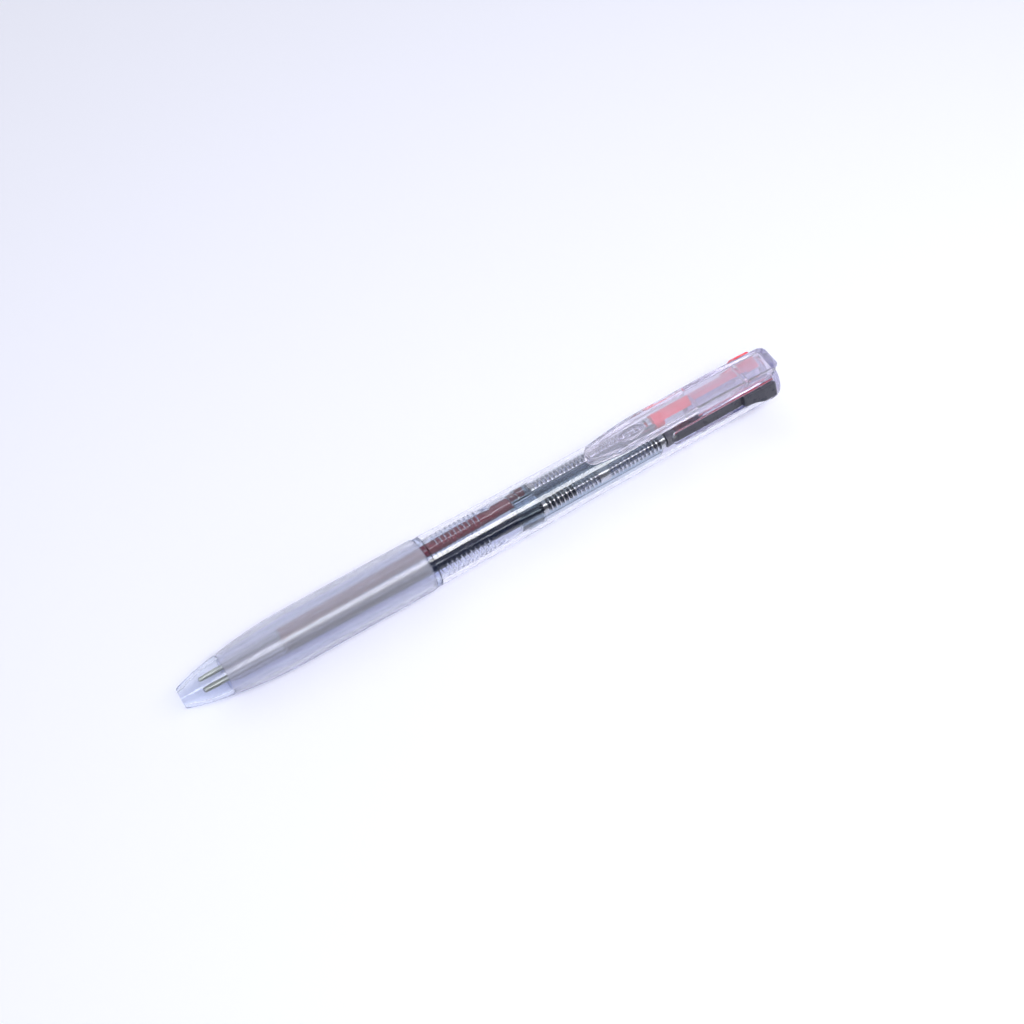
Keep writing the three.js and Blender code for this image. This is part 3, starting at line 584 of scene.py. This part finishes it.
def copied(piece, name):
    """A copy of a piece, with a mesh of its own."""
    copy = piece.copy()
    copy.data = piece.data.copy()
    bpy.context.scene.collection.objects.link(copy)
    copy.name = name
    return copy


SLIDER_END = 143.75
BAR_WIDTH = 2.5
BAR_TOP = 4.268
TAIL_LOW = 1.65
SLIDER_COLLAR = 1.88
SPIGOT_RADIUS = 0.92
PAD_START = 135.45
PAD_FLAT = 140.2
PAD_TOP = 6.798
PAD_LOW = 5.598
PAD_WIDTH = 3.2
FLAT_AREA = 3e-6
SLIDER_COLOURS = {
    "black": (0.065, 0.066, 0.085), "red": (0.78, 0.022, 0.05), "blue": (0.055, 0.07, 0.46),
}
bar_side = [
    (116.15, 2.0), (116.15, LANE_RADIUS), (117.4, BAR_TOP), (SLIDER_END, BAR_TOP),
    (SLIDER_END, TAIL_LOW), (140.55, TAIL_LOW), (140.2, 2.0),
]
pad_top = curve((PAD_START, PAD_LOW), (137.65, PAD_LOW), (139.5, 6.623), 8)
pad_top += curve((139.5, 6.623), (139.85, PAD_TOP), (PAD_FLAT, PAD_TOP), 4)
pad_top += half_round((SLIDER_END - 0.9, PAD_TOP - 0.9), 0.9, 90, 0, 8)
pad_plan = [(PAD_START, -1.25)]
pad_plan += curve((PAD_START, -1.25), (137.65, -1.25), (139.85, -1.6), 8)
pad_plan += half_round((SLIDER_END - 0.5, -1.1), 0.5, 270, 360, 6)
pad_plan += half_round((SLIDER_END - 0.5, 1.1), 0.5, 0, 90, 6)
pad_plan += [(139.85, 1.6)]
pad_plan += curve((139.85, 1.6), (137.65, 1.25), (PAD_START, 1.25), 8)
slider_mould = from_side("slider", bar_side, BAR_WIDTH)
pad_stem = [(PAD_START, 2.6), (PAD_START, PAD_LOW), *pad_top, (SLIDER_END, 2.6)]
cut(slider_mould, from_side("pad_stem", pad_stem, BAR_WIDTH), "UNION")
pad_head = from_side("pad_head", [
    (PAD_START, PAD_LOW - 0.001), *pad_top, (SLIDER_END, PAD_LOW - 0.001),
], PAD_WIDTH)
cut(pad_head, from_above("pad_plan", pad_plan, 4.6, ABOVE_ALL), "INTERSECT")
cut(slider_mould, pad_head, "UNION")
cut(slider_mould, spun("collar", [
    (114.9, 0), (114.9, SLIDER_COLLAR), (117.4, SLIDER_COLLAR), (117.4, 0),
], SLIM_SIDES, height=LANE_RADIUS), "UNION")
cut(slider_mould, spun("spigot", [
    (111.7, 0), (111.7, 0.57), (112.05, SPIGOT_RADIUS), (115.05, SPIGOT_RADIUS), (115.05, 0),
], THIN_SIDES, height=LANE_RADIUS), "UNION")
softened(slider_mould, 0.15)
for flat_face in slider_mould.data.polygons:
    flat_face.use_smooth = flat_face.area < FLAT_AREA
for lane, turn in LANES.items():
    moulded = turned(copied(slider_mould, lane + "_thumb_slider"), turn)
    dressed(moulded, glossy(lane + "_plastic", SLIDER_COLOURS[lane], 0.28),
            lane + "_slider", lane + "_plastic", "slider_" + lane)
bpy.data.objects.remove(slider_mould)


# Return springs: drawn steel wire wound round the refills, with closed coils at both
# ends and a closed group in the middle. Each is pinched between the guide and a slider.
spring_wire, drawn_wire = finish_of("spring_wire")
drawn_wire.inputs["Base Color"].default_value = (0.76, 0.77, 0.80, 1)
drawn_wire.inputs["Metallic"].default_value = 1.0
uneven(spring_wire, drawn_wire, noise_on(spring_wire, scale=4000.0, detail=2.0), 0.14, 0.30)

WIRE_RADIUS = 0.16
WIRE_SIDES = 8
COIL_RADIUS = 1.64
COIL_STEPS = 24
SPRING_START = 82.5
SPRING_END = 114.6
CLOSED_PITCH = 0.335
END_TURNS = 3
MIDDLE_TURNS = 7
OPEN_TURNS = 13
open_pitch = (
    (SPRING_END - SPRING_START - 2 * WIRE_RADIUS
     - (2 * END_TURNS + MIDDLE_TURNS) * CLOSED_PITCH) / (2 * OPEN_TURNS)
)
windings = [
    (END_TURNS, CLOSED_PITCH), (OPEN_TURNS, open_pitch), (MIDDLE_TURNS, CLOSED_PITCH),
    (OPEN_TURNS, open_pitch), (END_TURNS, CLOSED_PITCH),
]
lengths = []
station = SPRING_START + WIRE_RADIUS
for turns, pitch in windings:
    bpy.ops.object.select_all(action="DESELECT")
    bpy.ops.mesh.primitive_circle_add(
        vertices=WIRE_SIDES, radius=WIRE_RADIUS * MM,
        location=place(station, LANE_RADIUS + COIL_RADIUS), rotation=(math.pi / 2, 0, 0),
    )
    wound = bpy.context.active_object
    bpy.ops.object.transform_apply()
    centre = place(station, LANE_RADIUS)
    wound.data.transform(Matrix.Translation(-centre))
    wound.location = centre
    modified(
        wound, "SCREW", axis="X", angle=2 * math.pi, screw_offset=pitch * MM,
        iterations=turns, steps=COIL_STEPS, render_steps=COIL_STEPS, use_smooth_shade=True,
    )
    bpy.ops.object.transform_apply()
    lengths.append(wound)
    station += turns * pitch
only(lengths[0])
for wound in lengths[1:]:
    wound.select_set(True)
bpy.ops.object.join()
spring_coil = lengths[0]
bpy.ops.object.mode_set(mode="EDIT")
bpy.ops.mesh.select_all(action="SELECT")
bpy.ops.mesh.remove_doubles(threshold=WELD)
bpy.ops.mesh.select_all(action="DESELECT")
bpy.ops.mesh.select_non_manifold()
bpy.ops.mesh.edge_face_add()
closed(spring_coil)
for lane, turn in LANES.items():
    spring = turned(copied(spring_coil, lane + "_coil_spring"), turn)
    dressed(spring, spring_wire, "barrel", "spring_wire", "return_spring_" + lane)
    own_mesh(spring)
bpy.data.objects.remove(spring_coil)


# Refills: a clear extruded tube narrowed round a slim metal point with a 0.7 mm ball,
# and the column of ink behind it. Each tube is pushed over its slider's spigot and
# leans inwards in front of the guide, where the nose cone steers it.
BEND_STATION = 83.2
BEND_SLOPE = 0.01393
TUBE_START = 10.35
TUBE_END = 114.75
TUBE_RADIUS = 1.35
TUBE_BORE = 1.0
SHANK_END = 22.35
SHANK_RADIUS = 0.62
SHANK_HOLE = 0.70
POINT_START = 4.75
POINT_RADIUS = 0.55
BALL_STATION = 4.85
BALL_RADIUS = 0.35
INK_START = 22.5
INK_RADIUS = 1.02
INK_ENDS = {"black": 91.1, "red": 81.3, "blue": 86.6}
INK_COLOURS = {
    "black": (0.007, 0.013, 0.030), "red": (0.25, 0.004, 0.028), "blue": (0.012, 0.02, 0.14),
}


def leaning(piece):
    """Moves a refill piece, in its mesh, out to the line that the refill lies on."""
    for vertex in piece.data.vertices:
        station = vertex.co.x / MM + MIDDLE
        lean = BEND_SLOPE * max(BEND_STATION - station, 0)
        vertex.co.z += (LANE_RADIUS - lean) * MM
    return piece


def metal(name, colour, roughness):
    """Turned metal with fine lathe marks round it."""
    material, shader = finish_of(name)
    shader.inputs["Base Color"].default_value = (*colour, 1)
    shader.inputs["Metallic"].default_value = 1.0
    marks = noise_on(material, scale=9000.0, detail=2.0, stretch=(1.0, 0.05, 0.05))
    uneven(material, shader, marks, roughness * 0.7, roughness * 1.4)
    return material


refill_plastic = clear(
    "refill_plastic", colour=(0.80, 0.81, 0.86), tint=(0.80, 0.80, 0.84),
    absorbed=(0.45, 0.44, 0.50), density=400.0, roughness=0.10,
)
point_metal = metal("point_metal", (0.44, 0.45, 0.40), 0.42)
ball_metal = metal("ball_metal", (0.62, 0.62, 0.65), 0.12)

front_stations = [26.0, 40.0, 54.0, 69.0]
tube_outline = [(TUBE_START, SHANK_HOLE), (TUBE_START, 0.88)]
tube_outline += curve((TUBE_START, 0.88), (11.65, TUBE_RADIUS), (12.95, TUBE_RADIUS), 8)
tube_outline += [(s, TUBE_RADIUS) for s in [*front_stations, BEND_STATION, TUBE_END]]
tube_outline += [(s, TUBE_BORE) for s in [TUBE_END, BEND_STATION, *front_stations[::-1]]]
tube_outline += [(SHANK_END, TUBE_BORE), (22.05, SHANK_HOLE), (TUBE_START, SHANK_HOLE)]
point_outline = [
    (POINT_START, 0.38), (POINT_START, 0.45), (7.15, POINT_RADIUS), (10.2, POINT_RADIUS),
    (10.2, SHANK_RADIUS), (SHANK_END, SHANK_RADIUS), (SHANK_END, 0.2), (5.25, 0.2),
    (5.25, 0.38), (POINT_START, 0.38),
]
for lane, turn in LANES.items():
    tube = turned(leaning(spun(lane + "_refill_tube", tube_outline, SLIM_SIDES)), turn)
    ink_end = INK_ENDS[lane]
    ink_stations = [INK_START, 40.0, 60.0]
    if ink_end > BEND_STATION:
        ink_stations.append(BEND_STATION)
    ink_outline = [(INK_START, 0), *[(s, INK_RADIUS) for s in [*ink_stations, ink_end]]]
    ink_outline += curve((ink_end, INK_RADIUS), (ink_end - 0.7, 0.6), (ink_end - 0.7, 0.0), 6)
    ink = turned(leaning(spun(lane + "_ink_column", ink_outline, SLIM_SIDES)), turn)
    point = turned(leaning(spun(lane + "_writing_point", point_outline, THIN_SIDES)), turn)
    bpy.ops.object.select_all(action="DESELECT")
    bpy.ops.mesh.primitive_uv_sphere_add(
        segments=32, ring_count=16, radius=BALL_RADIUS * MM, location=place(BALL_STATION, 0)
    )
    ball = bpy.context.active_object
    ball.name = ball.data.name = lane + "_writing_ball"
    bpy.ops.object.transform_apply()
    turned(leaning(ball), turn)
    for piece, material, slot, node in (
        (tube, refill_plastic, "refill_plastic", "refill_tube_"),
        (ink, glossy(lane + "_ink", INK_COLOURS[lane], 0.12), lane + "_ink", "ink_"),
        (point, point_metal, "point_metal", "point_"),
        (ball, ball_metal, "ball_metal", "ball_"),
    ):
        shaded(piece)
        if piece in (tube, ink):
            piece.data.materials.clear()
            piece.data.materials.append(material)
            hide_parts(node + lane)
            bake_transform(piece)
        else:
            dressed(piece, material, lane + "_refill", slot, node + lane)


# Table: a plain white surface under the pen, tilted so that it touches both the lowest
# thumb pad and the underside of the grip. A small share of its white is light of its own.
TABLE_SIZE = 6.0
TABLE_TILT = math.atan2(0.936, 116.0)
TABLE_GLOW = 0.08
bpy.ops.object.select_all(action="DESELECT")
bpy.ops.mesh.primitive_plane_add(size=TABLE_SIZE, location=(0.0685, 0, -0.00002))
table = bpy.context.active_object
table.name = "table"
table.rotation_euler = (0, TABLE_TILT, 0)
bpy.ops.object.transform_apply(location=True, rotation=True, scale=True)
white, surface = finish_of("table_white")
surface.inputs["Base Color"].default_value = (0.86, 0.87, 0.98, 1)
surface.inputs["Roughness"].default_value = 0.6
surface.inputs["Specular IOR Level"].default_value = 0.2
glow = added(white, "ShaderNodeEmission")
seen = added(white, "ShaderNodeLightPath")
either = added(white, "ShaderNodeMath", operation="MAXIMUM")
share = added(white, "ShaderNodeMath", operation="MULTIPLY")
share.inputs[1].default_value = TABLE_GLOW
lift = added(white, "ShaderNodeAddShader")
tree = white.node_tree
tree.links.new(seen.outputs["Is Camera Ray"], either.inputs[0])
tree.links.new(seen.outputs["Is Transmission Ray"], either.inputs[1])
tree.links.new(either.outputs[0], share.inputs[0])
tree.links.new(share.outputs[0], glow.inputs["Strength"])
tree.links.new(surface.outputs[0], lift.inputs[0])
tree.links.new(glow.outputs[0], lift.inputs[1])
tree.links.new(lift.outputs[0], tree.nodes["Material Output"].inputs["Surface"])
table.data.materials.append(white)


# Light: the camera sees a white room. Diffuse rays meet it dimmed, and reflected and
# refracted rays meet it dark on the camera's side and half bright beyond the pen. A long
# lamp on the camera's side draws the highlight, and a weak one stands behind the pen.
DIFFUSE_LIGHT = 0.40
scene = bpy.context.scene
scene.world = bpy.data.worlds.new("studio")
scene.world.use_nodes = True
sky = scene.world.node_tree
backdrop = sky.nodes["Background"]
backdrop.inputs["Color"].default_value = (0.98, 0.98, 1.0, 1)
backdrop.inputs["Strength"].default_value = 1.0
path = sky.nodes.new("ShaderNodeLightPath")
toward = sky.nodes.new("ShaderNodeTexCoord")
parts = sky.nodes.new("ShaderNodeSeparateXYZ")
far_side = sky.nodes.new("ShaderNodeMapRange")
for setting, value in (
    ("From Min", -0.5), ("From Max", 0.1), ("To Min", 0.03), ("To Max", 0.52),
):
    far_side.inputs[setting].default_value = value
sky.links.new(toward.outputs["Generated"], parts.inputs["Vector"])
sky.links.new(parts.outputs["Y"], far_side.inputs["Value"])
diffuse_room = sky.nodes.new("ShaderNodeBackground")
diffuse_room.inputs["Color"].default_value = (0.92, 0.935, 1.0, 1)
diffuse_room.inputs["Strength"].default_value = DIFFUSE_LIGHT
mirrored_room = sky.nodes.new("ShaderNodeBackground")
mirrored_room.inputs["Color"].default_value = (0.90, 0.92, 1.0, 1)
sky.links.new(far_side.outputs["Result"], mirrored_room.inputs["Strength"])
for ray, room in (("Is Diffuse Ray", diffuse_room), ("Is Glossy Ray", mirrored_room)):
    choose = sky.nodes.new("ShaderNodeMixShader")
    sky.links.new(path.outputs[ray], choose.inputs[0])
    sky.links.new(backdrop.outputs[0], choose.inputs[1])
    sky.links.new(room.outputs[0], choose.inputs[2])
    backdrop = choose
sky.links.new(backdrop.outputs[0], sky.nodes["World Output"].inputs["Surface"])

for name, lamp_place, size, power in (
    ("key", (0.12, -0.19, 0.43), (0.60, 0.15), 1.9),
    ("window", (-0.10, 0.45, 0.55), (0.35, 0.35), 0.5),
):
    lamp = bpy.data.lights.new(name, "AREA")
    lamp.shape = "RECTANGLE"
    lamp.size, lamp.size_y = size
    lamp.energy = power
    holder = bpy.data.objects.new(name, lamp)
    scene.collection.objects.link(holder)
    holder.location = lamp_place
    holder.rotation_euler = (math.atan2(-lamp_place[1], lamp_place[2]), 0, 0)

scene.view_settings.view_transform = "Standard"
scene.cycles.max_bounces = 24
scene.cycles.transmission_bounces = 24
scene.cycles.glossy_bounces = 20
scene.cycles.transparent_max_bounces = 32
